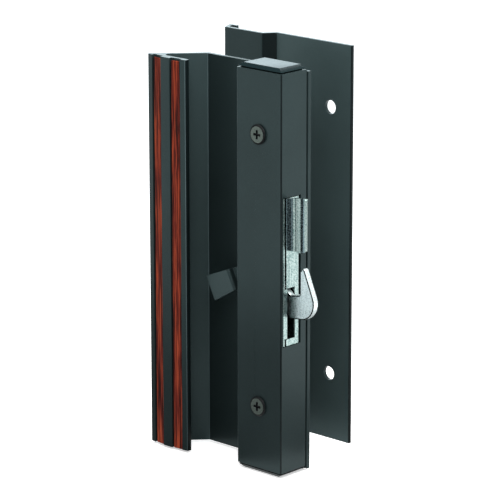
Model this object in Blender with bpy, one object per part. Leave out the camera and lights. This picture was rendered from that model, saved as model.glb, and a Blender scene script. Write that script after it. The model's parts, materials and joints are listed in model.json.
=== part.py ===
# Sliding door latch handle: an inside pull with a boxed hook latch, and the flat outside pull.
# Row frame: X to the right along the door, Y back through the door, Z up.
# The origin lies on the door's inner face, on the screw line, at mid-height of the handle.

import math

import bmesh
import bpy
from mathutils import Matrix, Vector

MM = 0.001                      # every size below is in millimetres

# Fits
GAP = 0.3                       # between faces that touch on the real handle
HOLE_CLEARANCE = 0.6            # added to a shank's diameter for its hole
MOVING_GAP = 0.7                # round the lever where it passes through the cover

# Inside pull extrusion
PULL_TOP_BELOW_COVER = 1.425    # the extrusion sits a little lower than the cover
PULL_END_BELOW_COVER = 1.125
BASE_THICKNESS = 2.0
BASE_OVERHANG = 0.2             # base plate past the cover's right side
BEND_X = -47.4                  # front inside corner of web and base plate
WEB_ANGLE = 47.0                # web to the door face, degrees
WEB_THICKNESS = 2.0
GRIP_LEFT = -66.9
GRIP_WIDTH = 23.8
GRIP_BACK_Y = -18.4
GRIP_EDGE_THICKNESS = 2.5
GRIP_CROWN_RADIUS = 60.0
GRIP_EDGE_RADIUS = 0.6
BEND_RADIUS = 1.2
GRIP_FILLET = 2.5               # in the narrow corner of web and grip

# Wood grain strips, let into dovetail grooves of the grip
STRIP_SPACING = 11.6
STRIP_TOP_WIDTH = 5.4
STRIP_BASE_WIDTH = 5.9
STRIP_THICKNESS = 1.1
STRIP_RECESS = 0.4

# Latch cover, a channel whose open side stands on the base plate
COVER_WIDTH = 27.0
COVER_DEPTH = 17.2
COVER_WALL = 1.0
COVER_EDGE_RADIUS = 0.8
RIB_WIDTH = 1.2                 # ribs of the base plate that locate the cover
RIB_HEIGHT = 1.5

# End caps
CAP_HEIGHT = 1.55
CAP_INSET = 0.4                 # leaves the cover's cut rim in sight
CAP_FRONT_SLOPE = 1.8           # from the cover's outline to the flat, as the next two
CAP_SIDE_SLOPE = 2.9
CAP_BACK_SLOPE = 1.6
PLUG_DEPTH = 8.0
PLUG_WALL = 1.6

# Mounting screws and their sleeves
SCREW_SPACING = 125.4
COVER_PAST_SCREW = 29.375       # at both ends
SCREW_RAISE = 0.5               # middle of the pair above the cover's middle
SCREW_DIAMETER = 4.2
SCREW_REACH = 13.0              # shank behind the door face
SCREW_HEAD_DIAMETER = 9.2
SCREW_HEAD_HEIGHT = 1.0
SLEEVE_DIAMETER = 8.0

# Latch case: a folded frame behind, a flat plate in front
SHEET = 1.2
FRONT_PLATE_SHEET = 0.9
CASE_FROM_SCREW = 15.7          # end of the case from the screw's axis
CASE_LEFT = -9.0
CASE_BACK_FROM_FRONT = 12.6     # back of the case, from the cover's front face
FOOT_WIDTH = 16.0
FOOT_PAST_SCREW = 7.3
JOGGLE_FROM_CASE = 3.0          # the frame's step back to its feet, beyond the case
JOGGLE_LENGTH = 4.5
CASE_CORNER_RADIUS = 1.5
FACE_LOW = -32.1
FACE_HIGH = 35.6
FACE_FRONT_DEPTH = 3.4          # front edge of the face plate, from the cover's front
FOLD_RADIUS = 0.5               # inside the fold
SLOT_LOW = -29.1
SLOT_HIGH = -5.5
SLOT_BACK_DEPTH = 9.1
LIP_WIDTH = 2.6                 # folded lip of the front plate beside the slot

# Guard tab rolled out of the face plate
TAB_LOW = 12.1
TAB_LOW_AT_TIP = 11.6
TAB_HIGH_AT_TIP = 36.9
TAB_FRONT_DEPTH = 3.1           # front of the rolled bead, from the cover's front
TAB_ROLL_RADIUS = 0.9           # inside the roll
TAB_BEAD = 2.2                  # bead, then a step back, the flat and the curled lip
TAB_STEP = 1.1
TAB_FLAT = 4.85
TAB_CURL = 1.0
TAB_CORNER_RADIUS = 2.4

# Case posts and pivot
POST_SPACING = 13.0
POST_FROM_END = 6.0
POST_DIAMETER = 5.0
TENON_DIAMETER = 3.0
RIVET_HEAD_DIAMETER = 5.4
RIVET_HEAD_HEIGHT = 0.8
PIVOT_DIAMETER = 5.0
PIVOT_HEAD_DIAMETER = 8.0
PIVOT_HEAD_HEIGHT = 1.0
SPACER_DIAMETER = 9.0
SPACER_LENGTH = 1.5
WASHER_DIAMETER = 10.0
WASHER_SHEET = 0.3
WASHER_WAVE = 0.2
WASHER_WAVES = 3

# Hook, in its own plane round the pivot
HOOK_FRONT_DEPTH = 5.7
HOOK_THICKNESS = 3.0
HUB_RADIUS = 6.5
HOOK_NOSE_X = 19.6
HOOK_NOSE_Z = -11.0
HOOK_NOSE_RADIUS = 8.1
HOOK_TIP_X = 21.2
HOOK_TIP_Z = 4.4
HOOK_TIP_RADIUS = 1.0
HOOK_THROAT_X = 19.6
HOOK_THROAT_Z = -8.0
HOOK_NECK_X = 13.4
HOOK_NECK_TOP_Z = -9.0
HOOK_NECK_LOW_Z = -19.8
HOOK_EDGE = 0.25

# Thumb lever, folded from one sheet
LEVER_SHEET = 1.4
LEVER_ANGLE = 27.0              # below the horizontal at rest
LEVER_FRONT_DEPTH = 9.0
PAD_STEP = 3.2                  # pad in front of the arm
PAD_INNER = 23.6
PAD_OUTER = 38.5
PAD_INNER_LOW = -2.5
PAD_INNER_HIGH = 7.5
PAD_OUTER_LOW = -3.4
PAD_OUTER_HIGH = 8.8
PAD_CORNER_RADIUS = 0.6
ARM_LOW = -1.0
ARM_HIGH = 7.0
LEVER_TRAVEL = 58.0
EAR_RADIUS = 3.6
DRIVE_X = 6.0
DRIVE_Z = -6.6
DRIVE_DIAMETER = 3.0

# Outside pull
DOOR_THICKNESS = 28.1
PULL_LENGTH = 186.5
PULL_RAISE = 4.4                # stands higher than the inside pull
PULL_HOLE_RAISE = 5.2
PULL_THICKNESS = 1.8
PULL_RIGHT = 12.6
PULL_STEP_X = -32.9             # where the flange meets the step
PULL_STEP_RUN = 4.2
CHANNEL_DEPTH = 5.4
CHANNEL_LEFT = -60.4
LIP_RUN = 3.4
RETURN_END = -58.0
PULL_HOLE_DIAMETER = 6.4
PULL_EDGE_RADIUS = 0.5

# Values that several pieces share
HALF_LENGTH = SCREW_SPACING / 2 + COVER_PAST_SCREW
PULL_TOP = HALF_LENGTH - PULL_TOP_BELOW_COVER
PULL_BOTTOM = -HALF_LENGTH - PULL_END_BELOW_COVER
HALF_WIDTH = COVER_WIDTH / 2
BASE_FRONT_Y = -BASE_THICKNESS
COVER_FRONT_Y = BASE_FRONT_Y - COVER_DEPTH
RIB_OUTER = HALF_WIDTH - COVER_WALL - GAP
SCREW_Z = SCREW_SPACING / 2
SCREW_PLACES = (("upper", SCREW_RAISE + SCREW_Z), ("lower", SCREW_RAISE - SCREW_Z))
CASE_BACK_Y = COVER_FRONT_Y + CASE_BACK_FROM_FRONT
CASE_INNER_Y = CASE_BACK_Y - SHEET
FRONT_PLATE_Y = COVER_FRONT_Y + COVER_WALL + 0.5
FRONT_PLATE_BACK_Y = FRONT_PLATE_Y + FRONT_PLATE_SHEET
CASE_RIGHT = HALF_WIDTH - COVER_WALL - GAP
CASE_HALF_HEIGHT = SCREW_Z - CASE_FROM_SCREW
JOGGLE_START = CASE_HALF_HEIGHT + JOGGLE_FROM_CASE
FOOT_START = JOGGLE_START + JOGGLE_LENGTH
FOOT_END = SCREW_Z + FOOT_PAST_SCREW
HOOK_FRONT_Y = COVER_FRONT_Y + HOOK_FRONT_DEPTH
HOOK_BACK_Y = HOOK_FRONT_Y + HOOK_THICKNESS
LEVER_FRONT_Y = COVER_FRONT_Y + LEVER_FRONT_DEPTH
LEVER_BACK_Y = LEVER_FRONT_Y + LEVER_SHEET
PIVOT_HOLE = PIVOT_DIAMETER + HOLE_CLEARANCE

PAINT = ("charcoal_paint", (0.043, 0.060, 0.060), 0.42, 0.35)
WOOD = ("wood_grain_strip", (0.30, 0.055, 0.032), 0.45, 0.0)
PLASTIC = ("black_plastic", (0.025, 0.033, 0.034), 0.38, 0.0)
ZINC = ("zinc_plate", (0.56, 0.63, 0.63), 0.36, 0.9)
STEEL = ("bright_steel", (0.50, 0.52, 0.53), 0.30, 1.0)
BLACK_SCREW = ("black_screw", (0.020, 0.026, 0.027), 0.35, 0.6)


# Scene and materials

def clear_scene():
    for item in list(bpy.data.objects):
        bpy.data.objects.remove(item, do_unlink=True)


def material_for(name, finish):
    label, colour, roughness, metallic = finish
    material = bpy.data.materials.new(name + "_" + label)
    material.use_nodes = True
    shader = material.node_tree.nodes["Principled BSDF"]
    shader.inputs["Base Color"].default_value = (*colour, 1.0)
    shader.inputs["Roughness"].default_value = roughness
    shader.inputs["Metallic"].default_value = metallic
    return material


def new_object(name, mesh_data, finish=None, origin=(0.0, 0.0, 0.0)):
    """Make a mesh object from a bmesh in millimetres, with its origin at a point in millimetres."""
    shift = Vector(origin)
    for vertex in mesh_data.verts:
        vertex.co = (vertex.co - shift) * MM
    bmesh.ops.recalc_face_normals(mesh_data, faces=mesh_data.faces)
    mesh = bpy.data.meshes.new(name)
    mesh_data.to_mesh(mesh)
    mesh_data.free()
    item = bpy.data.objects.new(name, mesh)
    item.location = shift * MM
    bpy.context.scene.collection.objects.link(item)
    if finish is None:
        item.hide_render = True
        item.display_type = "WIRE"
    else:
        mesh.materials.append(material_for(name, finish))
    return item


def shade(item):
    item.data.shade_smooth()
    item.data.set_sharp_from_angle(angle=math.radians(35))


# Outlines

def arc(centre, radius, start, end, steps):
    """Points on an arc, with its angles in degrees, both ends included."""
    points = []
    for step in range(steps + 1):
        angle = math.radians(start + (end - start) * step / steps)
        points.append((centre[0] + radius * math.cos(angle), centre[1] + radius * math.sin(angle)))
    return points


def rounded(corners, step_degrees=18.0):
    """Round the corners (x, y, radius) of a polygon; radius 0 keeps a corner sharp."""
    points = []
    count = len(corners)
    for index, (x, y, radius) in enumerate(corners):
        corner = Vector((x, y))
        before = Vector(corners[index - 1][:2]) - corner
        after = Vector(corners[(index + 1) % count][:2]) - corner
        angle = before.angle(after)
        if radius <= 0 or angle > math.radians(179):
            points.append((x, y))
            continue
        run = radius / math.tan(angle / 2)
        run = min(run, 0.49 * before.length, 0.49 * after.length)
        radius = run * math.tan(angle / 2)
        middle = corner + (before.normalized() + after.normalized()).normalized() * radius / math.sin(angle / 2)
        first = corner + before.normalized() * run - middle
        last = corner + after.normalized() * run - middle
        sweep = first.angle_signed(last)
        steps = max(2, round(math.degrees(abs(sweep)) / step_degrees))
        for step in range(steps + 1):
            turn = -sweep * step / steps
            cosine = math.cos(turn)
            sine = math.sin(turn)
            points.append((middle.x + first.x * cosine - first.y * sine,
                           middle.y + first.x * sine + first.y * cosine))
    return points


def circle(centre, diameter, steps=32):
    return arc(centre, diameter / 2, 0, 360 - 360 / steps, steps - 1)


# Solids

def place(axis, first, second, along):
    if axis == "X":
        return (along, first, second)
    if axis == "Y":
        return (first, along, second)
    return (first, second, along)


def prism(name, outline, low, high, axis="Z", finish=None, origin=(0.0, 0.0, 0.0)):
    """Extrude a closed outline along an axis. Outline pairs are (y, z), (x, z) or (x, y)."""
    data = bmesh.new()
    bottom = [data.verts.new(place(axis, a, b, low)) for a, b in outline]
    face = data.faces.new(bottom)
    moved = bmesh.ops.extrude_face_region(data, geom=[face])
    offset = Vector(place(axis, 0.0, 0.0, high - low))
    bmesh.ops.translate(data, vec=offset, verts=[g for g in moved["geom"] if isinstance(g, bmesh.types.BMVert)])
    return new_object(name, data, finish, origin)


def box(name, low, high, finish=None):
    outline = [(low[0], low[1]), (high[0], low[1]), (high[0], high[1]), (low[0], high[1])]
    return prism(name, outline, low[2], high[2], "Z", finish)


def turned(name, profile, centre, finish=None, steps=32, origin=(0.0, 0.0, 0.0)):
    """Turn a closed profile of (radius, y) about an axis along Y through centre (x, z)."""
    data = bmesh.new()
    rings = []
    for step in range(steps):
        angle = 2 * math.pi * step / steps
        ring = []
        for radius, y in profile:
            ring.append(data.verts.new((centre[0] + radius * math.cos(angle), y,
                                        centre[1] + radius * math.sin(angle))))
        rings.append(ring)
    for step, ring in enumerate(rings):
        following = rings[(step + 1) % steps]
        for index in range(len(profile)):
            nearby = (index + 1) % len(profile)
            if profile[index][0] > 0 or profile[nearby][0] > 0:
                data.faces.new((ring[index], ring[nearby], following[nearby], following[index]))
    bmesh.ops.remove_doubles(data, verts=data.verts, dist=0.0005)
    item = new_object(name, data, finish, origin)
    if finish:
        shade(item)
    return item


def boolean(item, other, operation):
    modifier = item.modifiers.new(operation.lower() + "_" + other.name, "BOOLEAN")
    modifier.operation = operation
    modifier.solver = "EXACT"
    modifier.object = other


def drill(item, label, centre, diameter, low, high):
    """Cut a round hole along Y."""
    cutter = prism("cut_" + item.name + "_" + label, circle(centre, diameter), low, high, "Y")
    boolean(item, cutter, "DIFFERENCE")


# Inside pull extrusion

def crown_centre():
    middle = GRIP_LEFT + GRIP_WIDTH / 2
    edge_y = GRIP_BACK_Y - GRIP_EDGE_THICKNESS
    rise = math.sqrt(GRIP_CROWN_RADIUS ** 2 - (GRIP_WIDTH / 2) ** 2)
    return (middle, edge_y + rise)


def on_crown(offset, depth):
    """Point on the grip's crowned front, at an offset along the arc and a depth below it."""
    centre = crown_centre()
    angle = offset / GRIP_CROWN_RADIUS
    radius = GRIP_CROWN_RADIUS - depth
    return (centre[0] + radius * math.sin(angle), centre[1] - radius * math.cos(angle))


def strip_centres():
    return (-STRIP_SPACING / 2, STRIP_SPACING / 2)


def grip_front():
    """Grip's front from left to right, with its two dovetail grooves."""
    floor = STRIP_RECESS + STRIP_THICKNESS + GAP
    mouth_half = STRIP_TOP_WIDTH / 2 + GAP
    floor_half = STRIP_BASE_WIDTH / 2 + GAP
    edge = GRIP_CROWN_RADIUS * math.asin(GRIP_WIDTH / 2 / GRIP_CROWN_RADIUS)
    margin = 2.5 * GRIP_EDGE_RADIUS
    points = [on_crown(margin - edge, 0)]
    for centre in strip_centres():
        points.append(on_crown(centre - mouth_half, 0))
        points.append(on_crown(centre - floor_half, floor))
        points.append(on_crown(centre, floor))
        points.append(on_crown(centre + floor_half, floor))
        points.append(on_crown(centre + mouth_half, 0))
        if centre < 0:
            points.append(on_crown(-1.0, 0))
            points.append(on_crown(1.0, 0))
    points.append(on_crown(edge - margin, 0))
    return [(x, y, 0) for x, y in points]


def build_pull_extrusion():
    slope = math.radians(WEB_ANGLE)
    run = (BASE_FRONT_Y - GRIP_BACK_Y) / math.tan(slope)
    shift = WEB_THICKNESS / math.sin(slope)
    foot_x = BEND_X - run
    back_bend_x = BEND_X - shift + BASE_THICKNESS / math.tan(slope)
    right = HALF_WIDTH + BASE_OVERHANG
    rib_inner = RIB_OUTER - RIB_WIDTH
    rib_top = BASE_FRONT_Y - RIB_HEIGHT
    grip_right = GRIP_LEFT + GRIP_WIDTH
    edge_y = GRIP_BACK_Y - GRIP_EDGE_THICKNESS
    back = [(right, BASE_FRONT_Y, 0.3), (right, 0.0, 0.3),
            (back_bend_x, 0.0, BEND_RADIUS), (foot_x - shift, GRIP_BACK_Y, BEND_RADIUS),
            (GRIP_LEFT, GRIP_BACK_Y, GRIP_EDGE_RADIUS), (GRIP_LEFT, edge_y, GRIP_EDGE_RADIUS)]
    inside = [(grip_right, edge_y, GRIP_EDGE_RADIUS), (grip_right, GRIP_BACK_Y, GRIP_EDGE_RADIUS),
              (foot_x, GRIP_BACK_Y, GRIP_FILLET), (BEND_X, BASE_FRONT_Y, BEND_RADIUS)]
    ribs = [(-RIB_OUTER, BASE_FRONT_Y, 0), (-RIB_OUTER, rib_top, 0.3),
            (-rib_inner, rib_top, 0.3), (-rib_inner, BASE_FRONT_Y, 0),
            (rib_inner, BASE_FRONT_Y, 0), (rib_inner, rib_top, 0.3),
            (RIB_OUTER, rib_top, 0.3), (RIB_OUTER, BASE_FRONT_Y, 0)]
    outline = rounded(back + grip_front() + inside + ribs)
    pull = prism("pull_extrusion", outline, PULL_BOTTOM, PULL_TOP, "Z", PAINT)
    for label, z in SCREW_PLACES:
        drill(pull, label, (0.0, z), SCREW_DIAMETER + HOLE_CLEARANCE, BASE_FRONT_Y - 1, 1)
    shade(pull)


def build_strips():
    top = STRIP_RECESS
    low = STRIP_RECESS + STRIP_THICKNESS
    for side, centre in zip(("left", "right"), strip_centres()):
        outline = []
        for share in (-1.0, -0.5, 0.0, 0.5, 1.0):
            outline.append(on_crown(centre + share * STRIP_TOP_WIDTH / 2, top))
        for share in (1.0, 0.0, -1.0):
            outline.append(on_crown(centre + share * STRIP_BASE_WIDTH / 2, low))
        prism("wood_strip_" + side, outline, PULL_BOTTOM, PULL_TOP, "Z", WOOD)


# Latch cover and its end caps

def build_cover():
    back_y = BASE_FRONT_Y - GAP
    inner = HALF_WIDTH - COVER_WALL
    inner_y = COVER_FRONT_Y + COVER_WALL
    outline = rounded([
        (-HALF_WIDTH, back_y, 0), (-HALF_WIDTH, COVER_FRONT_Y, COVER_EDGE_RADIUS),
        (HALF_WIDTH, COVER_FRONT_Y, COVER_EDGE_RADIUS), (HALF_WIDTH, back_y, 0),
        (inner, back_y, 0), (inner, inner_y, 0), (-inner, inner_y, 0), (-inner, back_y, 0)])
    cover = prism("latch_cover", outline, -HALF_LENGTH, HALF_LENGTH, "Z", PAINT)
    window = box("cut_cover_window",
                 (inner - 1, FRONT_PLATE_Y - GAP, FACE_LOW - GAP),
                 (HALF_WIDTH + 1, CASE_BACK_Y + GAP, FACE_HIGH + GAP))
    boolean(cover, window, "DIFFERENCE")
    low, high = lever_slot_span()
    y_low = LEVER_FRONT_Y - MOVING_GAP
    y_high = LEVER_BACK_Y + MOVING_GAP
    end = (y_high - y_low) / 2 * 0.9
    slot = prism("cut_cover_lever_slot",
                 rounded([(y_low, low, end), (y_high, low, end), (y_high, high, end), (y_low, high, end)], 30),
                 -HALF_WIDTH - 1, -inner + 1, "X")
    boolean(cover, slot, "DIFFERENCE")
    for label, z in SCREW_PLACES:
        drill(cover, label, (0.0, z), SCREW_DIAMETER + HOLE_CLEARANCE, COVER_FRONT_Y - 1, inner_y + 1)
    shade(cover)


def lever_slot_span():
    """Lowest and highest point of the lever's arm at the cover's left wall, over its travel."""
    heights = []
    for swing in (0.0, LEVER_TRAVEL):
        tilt = math.radians(swing - LEVER_ANGLE)
        for edge in (ARM_LOW, ARM_HIGH):
            for wall in (HALF_WIDTH - COVER_WALL, HALF_WIDTH):
                along = (wall + edge * math.sin(tilt)) / math.cos(tilt)
                heights.append(along * math.sin(tilt) + edge * math.cos(tilt))
    return min(heights) - MOVING_GAP, max(heights) + MOVING_GAP


def build_cap(name, end):
    """Moulded cap, sloped all round, with a hollow plug inside the cover."""
    start = HALF_LENGTH + GAP
    back_y = BASE_FRONT_Y - GAP
    data = bmesh.new()
    rim_x = HALF_WIDTH - CAP_INSET
    rim_y = COVER_FRONT_Y + CAP_INSET
    outer = [(-rim_x, rim_y), (rim_x, rim_y), (rim_x, back_y), (-rim_x, back_y)]
    top_x = HALF_WIDTH - CAP_SIDE_SLOPE
    top_front = COVER_FRONT_Y + CAP_FRONT_SLOPE
    top_back = back_y - CAP_BACK_SLOPE
    top = [(-top_x, top_front), (top_x, top_front), (top_x, top_back), (-top_x, top_back)]
    lower = [data.verts.new((x, y, end * start)) for x, y in outer]
    upper = [data.verts.new((x, y, end * (start + CAP_HEIGHT))) for x, y in top]
    data.faces.new(lower)
    data.faces.new(upper)
    for index in range(4):
        nearby = (index + 1) % 4
        data.faces.new((lower[index], lower[nearby], upper[nearby], upper[index]))
    cap = new_object(name, data, PLASTIC)
    plug_x = HALF_WIDTH - COVER_WALL - GAP
    plug_front = COVER_FRONT_Y + COVER_WALL + GAP
    plug_back = BASE_FRONT_Y - RIB_HEIGHT - GAP
    corner = 0.8
    plug_ends = sorted((end * (start + 0.4), end * (HALF_LENGTH - PLUG_DEPTH)))
    plug = prism("join_" + name + "_plug",
                 rounded([(-plug_x, plug_front, corner), (plug_x, plug_front, corner),
                          (plug_x, plug_back, corner), (-plug_x, plug_back, corner)], 45),
                 plug_ends[0], plug_ends[1])
    hollow_ends = sorted((end * (HALF_LENGTH - 0.5), end * (HALF_LENGTH - PLUG_DEPTH - 1)))
    hollow = box("cut_" + name + "_hollow",
                 (-plug_x + PLUG_WALL, plug_front + PLUG_WALL, hollow_ends[0]),
                 (plug_x - PLUG_WALL, plug_back - PLUG_WALL, hollow_ends[1]))
    boolean(cap, plug, "UNION")
    boolean(cap, hollow, "DIFFERENCE")
    notch_ends = sorted((end * (HALF_LENGTH - 1), end * (start + CAP_HEIGHT + 1)))
    for label, side in (("left", -1), ("right", 1)):
        edges = sorted((side * (RIB_OUTER + GAP), side * (RIB_OUTER - RIB_WIDTH - GAP)))
        notch = box("cut_" + name + "_rib_" + label,
                    (edges[0], plug_back + 0.1, notch_ends[0]), (edges[1], 0.0, notch_ends[1]))
        boolean(cap, notch, "DIFFERENCE")


# Mounting screws and sleeves

def build_mounting_screw(name, z):
    seat = COVER_FRONT_Y - GAP
    radius = SCREW_DIAMETER / 2
    head = SCREW_HEAD_DIAMETER / 2
    tip = SCREW_REACH
    profile = [(0.0, seat - SCREW_HEAD_HEIGHT), (0.82 * head, seat - SCREW_HEAD_HEIGHT),
               (0.93 * head, seat - 0.85 * SCREW_HEAD_HEIGHT), (head, seat - 0.5 * SCREW_HEAD_HEIGHT),
               (head, seat), (radius, seat), (radius, tip - 1.0), (0.6 * radius, tip), (0.0, tip)]
    turned(name, profile, (0.0, z), BLACK_SCREW)


def build_sleeve(name, z):
    inner = (SCREW_DIAMETER + HOLE_CLEARANCE) / 2
    outer = SLEEVE_DIAMETER / 2
    front = COVER_FRONT_Y + COVER_WALL + GAP
    back = BASE_FRONT_Y - GAP - SHEET - GAP
    turned(name, [(inner, front), (outer, front), (outer, back), (inner, back)], (0.0, z), STEEL)


# Latch case

def face_section():
    """Section of the sheet from the frame's back round its fold, along the face and out to the tab's lip."""
    face_x = HALF_WIDTH - SHEET / 2
    fold_y = CASE_BACK_Y - SHEET / 2
    bead_y = COVER_FRONT_Y + TAB_FRONT_DEPTH + SHEET / 2
    bead_end = HALF_WIDTH + TAB_BEAD
    flat_y = bead_y + TAB_STEP
    flat_end = bead_end + TAB_STEP + TAB_FLAT
    return folded_strip([
        (CASE_RIGHT - 2 * SHEET, fold_y, 0), (face_x, fold_y, FOLD_RADIUS), (face_x, bead_y, TAB_ROLL_RADIUS),
        (bead_end, bead_y, FOLD_RADIUS), (bead_end + TAB_STEP, flat_y, FOLD_RADIUS),
        (flat_end, flat_y, FOLD_RADIUS), (flat_end + TAB_CURL, flat_y + TAB_CURL, 0)], SHEET)


def tab_tip_x():
    return HALF_WIDTH + TAB_BEAD + TAB_STEP + TAB_FLAT + TAB_CURL + SHEET / 2 * math.sin(math.radians(45))


def face_outline():
    """Face plate and tab from the front: tab corners rounded, top edge rising outwards."""
    root = CASE_RIGHT - 4 * SHEET
    tip = tab_tip_x()
    return rounded([
        (root, FACE_LOW, 0), (HALF_WIDTH + 0.01, FACE_LOW, 0), (HALF_WIDTH + 0.01, TAB_LOW, 0),
        (tip, TAB_LOW_AT_TIP, TAB_CORNER_RADIUS), (tip, TAB_HIGH_AT_TIP, TAB_CORNER_RADIUS),
        (HALF_WIDTH, FACE_HIGH, 0), (root, FACE_HIGH, 0)], 15)


def frame_blank():
    """Back plate with the narrower feet at both ends, from the front."""
    foot = FOOT_WIDTH / 2
    corner = CASE_CORNER_RADIUS
    beyond = FOOT_END + SCREW_RAISE + 1
    half = [(CASE_RIGHT, CASE_HALF_HEIGHT, corner), (foot, CASE_HALF_HEIGHT, 0), (foot, beyond, 0),
            (-foot, beyond, 0), (-foot, CASE_HALF_HEIGHT, 0), (CASE_LEFT, CASE_HALF_HEIGHT, corner)]
    return rounded(half + [(x, -z, radius) for x, z, radius in reversed(half)], 30)


def build_frame():
    """Folded latch frame: back plate, joggled feet, face plate with its slot, rolled tab."""
    plate_mid = CASE_BACK_Y - SHEET / 2
    foot_mid = BASE_FRONT_Y - GAP - SHEET / 2
    path = [(foot_mid, SCREW_RAISE - FOOT_END, 0), (foot_mid, -FOOT_START, FOLD_RADIUS),
            (plate_mid, -JOGGLE_START, FOLD_RADIUS), (plate_mid, JOGGLE_START, FOLD_RADIUS),
            (foot_mid, FOOT_START, FOLD_RADIUS), (foot_mid, SCREW_RAISE + FOOT_END, 0)]
    frame = prism("latch_frame", folded_strip(path, SHEET), CASE_LEFT - 1, CASE_RIGHT + 1, "X", ZINC)
    boolean(frame, prism("keep_frame_blank", frame_blank(), COVER_FRONT_Y, 0.0, "Y"), "INTERSECT")
    face = prism("join_frame_face", face_section(), FACE_LOW - 1, TAB_HIGH_AT_TIP + 1)
    boolean(face, prism("keep_frame_face", face_outline(), COVER_FRONT_Y - 5, 0.0, "Y"), "INTERSECT")
    below_tab = box("cut_frame_face_front", (HALF_WIDTH - SHEET - 1, COVER_FRONT_Y - 5, FACE_LOW - 2),
                    (HALF_WIDTH + 1, COVER_FRONT_Y + FACE_FRONT_DEPTH, TAB_LOW))
    boolean(face, below_tab, "DIFFERENCE")
    notch = box("cut_frame_slot", (HALF_WIDTH - SHEET - 0.5, COVER_FRONT_Y, SLOT_LOW),
                (HALF_WIDTH + 1, COVER_FRONT_Y + SLOT_BACK_DEPTH, SLOT_HIGH))
    boolean(face, notch, "DIFFERENCE")
    boolean(frame, face, "UNION")
    for label, z in SCREW_PLACES:
        drill(frame, label, (0.0, z), SCREW_DIAMETER + HOLE_CLEARANCE, foot_mid - 2, foot_mid + 2)
    drill(frame, "pivot", (0.0, 0.0), PIVOT_HOLE, CASE_INNER_Y - 1, CASE_BACK_Y + 1)
    for index, (x, z) in enumerate(post_places()):
        drill(frame, "post_" + str(index + 1), (x, z), TENON_DIAMETER + HOLE_CLEARANCE,
              CASE_INNER_Y - 1, CASE_BACK_Y + 1)
    shade(frame)


def folded_strip(path, thickness):
    """Outline of a sheet of one thickness along a path of (a, b, radius inside the fold)."""
    left = []
    right = []
    for index, (a, b, radius) in enumerate(path):
        here = Vector((a, b))
        before = (here - Vector(path[index - 1][:2])).normalized() if index > 0 else None
        after = (Vector(path[index + 1][:2]) - here).normalized() if index < len(path) - 1 else None
        arriving = before or after
        leaving = after or before
        middle = (arriving + leaving).normalized()
        normal = Vector((-middle.y, middle.x)) * thickness / 2 / max(0.2, middle.dot(arriving))
        turns_left = arriving.x * leaving.y - arriving.y * leaving.x > 0
        outside = radius + thickness if radius > 0 else 0
        left.append((*(here + normal), radius if turns_left else outside))
        right.append((*(here - normal), outside if turns_left else radius))
    return rounded(left + right[::-1], 12)


def post_places():
    height = CASE_HALF_HEIGHT - POST_FROM_END
    return [(x, z) for z in (height, -height) for x in (-POST_SPACING / 2, POST_SPACING / 2)]


def build_front_plate():
    """Flat plate in front of the hook, with a tongue in the cover's window and a lip by the slot."""
    outline = rounded([
        (CASE_LEFT, -CASE_HALF_HEIGHT, 2), (CASE_RIGHT, -CASE_HALF_HEIGHT, 1),
        (CASE_RIGHT, FACE_LOW, 0), (HALF_WIDTH, FACE_LOW, 0),
        (HALF_WIDTH, FACE_HIGH, 0), (CASE_RIGHT, FACE_HIGH, 0),
        (CASE_RIGHT, CASE_HALF_HEIGHT, 1), (CASE_LEFT, CASE_HALF_HEIGHT, 2)], 30)
    plate = prism("case_front_plate", outline, FRONT_PLATE_Y, FRONT_PLATE_BACK_Y, "Y", ZINC)
    lip = box("join_front_plate_lip", (HALF_WIDTH - FRONT_PLATE_SHEET, FRONT_PLATE_Y, SLOT_LOW + GAP),
              (HALF_WIDTH, FRONT_PLATE_Y + LIP_WIDTH, SLOT_HIGH - GAP))
    boolean(plate, lip, "UNION")
    drill(plate, "pivot", (0.0, 0.0), PIVOT_HOLE, FRONT_PLATE_Y - 1, FRONT_PLATE_BACK_Y + 1)
    for index, (x, z) in enumerate(post_places()):
        drill(plate, "post_" + str(index + 1), (x, z), TENON_DIAMETER + HOLE_CLEARANCE,
              FRONT_PLATE_Y - 1, FRONT_PLATE_BACK_Y + 1)


def build_posts():
    tenon = TENON_DIAMETER / 2
    body = POST_DIAMETER / 2
    head = RIVET_HEAD_DIAMETER / 2
    seat = CASE_BACK_Y + GAP
    profile = [(0.0, FRONT_PLATE_Y), (tenon, FRONT_PLATE_Y), (tenon, FRONT_PLATE_BACK_Y + GAP),
               (body, FRONT_PLATE_BACK_Y + GAP), (body, CASE_INNER_Y - GAP), (tenon, CASE_INNER_Y - GAP),
               (tenon, seat), (head, seat), (0.7 * head, seat + RIVET_HEAD_HEIGHT),
               (0.0, seat + RIVET_HEAD_HEIGHT)]
    for index, centre in enumerate(post_places()):
        turned("case_post_" + str(index + 1), profile, centre, STEEL, 24)


def build_pivot():
    radius = PIVOT_DIAMETER / 2
    head = PIVOT_HEAD_DIAMETER / 2
    seat = CASE_BACK_Y + GAP
    turned("pivot_pin", [(0.0, FRONT_PLATE_Y), (radius, FRONT_PLATE_Y), (radius, seat), (head, seat),
                         (0.8 * head, seat + PIVOT_HEAD_HEIGHT), (0.0, seat + PIVOT_HEAD_HEIGHT)],
           (0.0, 0.0), STEEL)
    front = FRONT_PLATE_BACK_Y + GAP
    back = front + SPACER_LENGTH
    turned("pivot_spacer", [(PIVOT_HOLE / 2, front), (SPACER_DIAMETER / 2, front),
                            (SPACER_DIAMETER / 2, back), (PIVOT_HOLE / 2, back)], (0.0, 0.0), STEEL)
    build_wave_washer(back + GAP)


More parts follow.
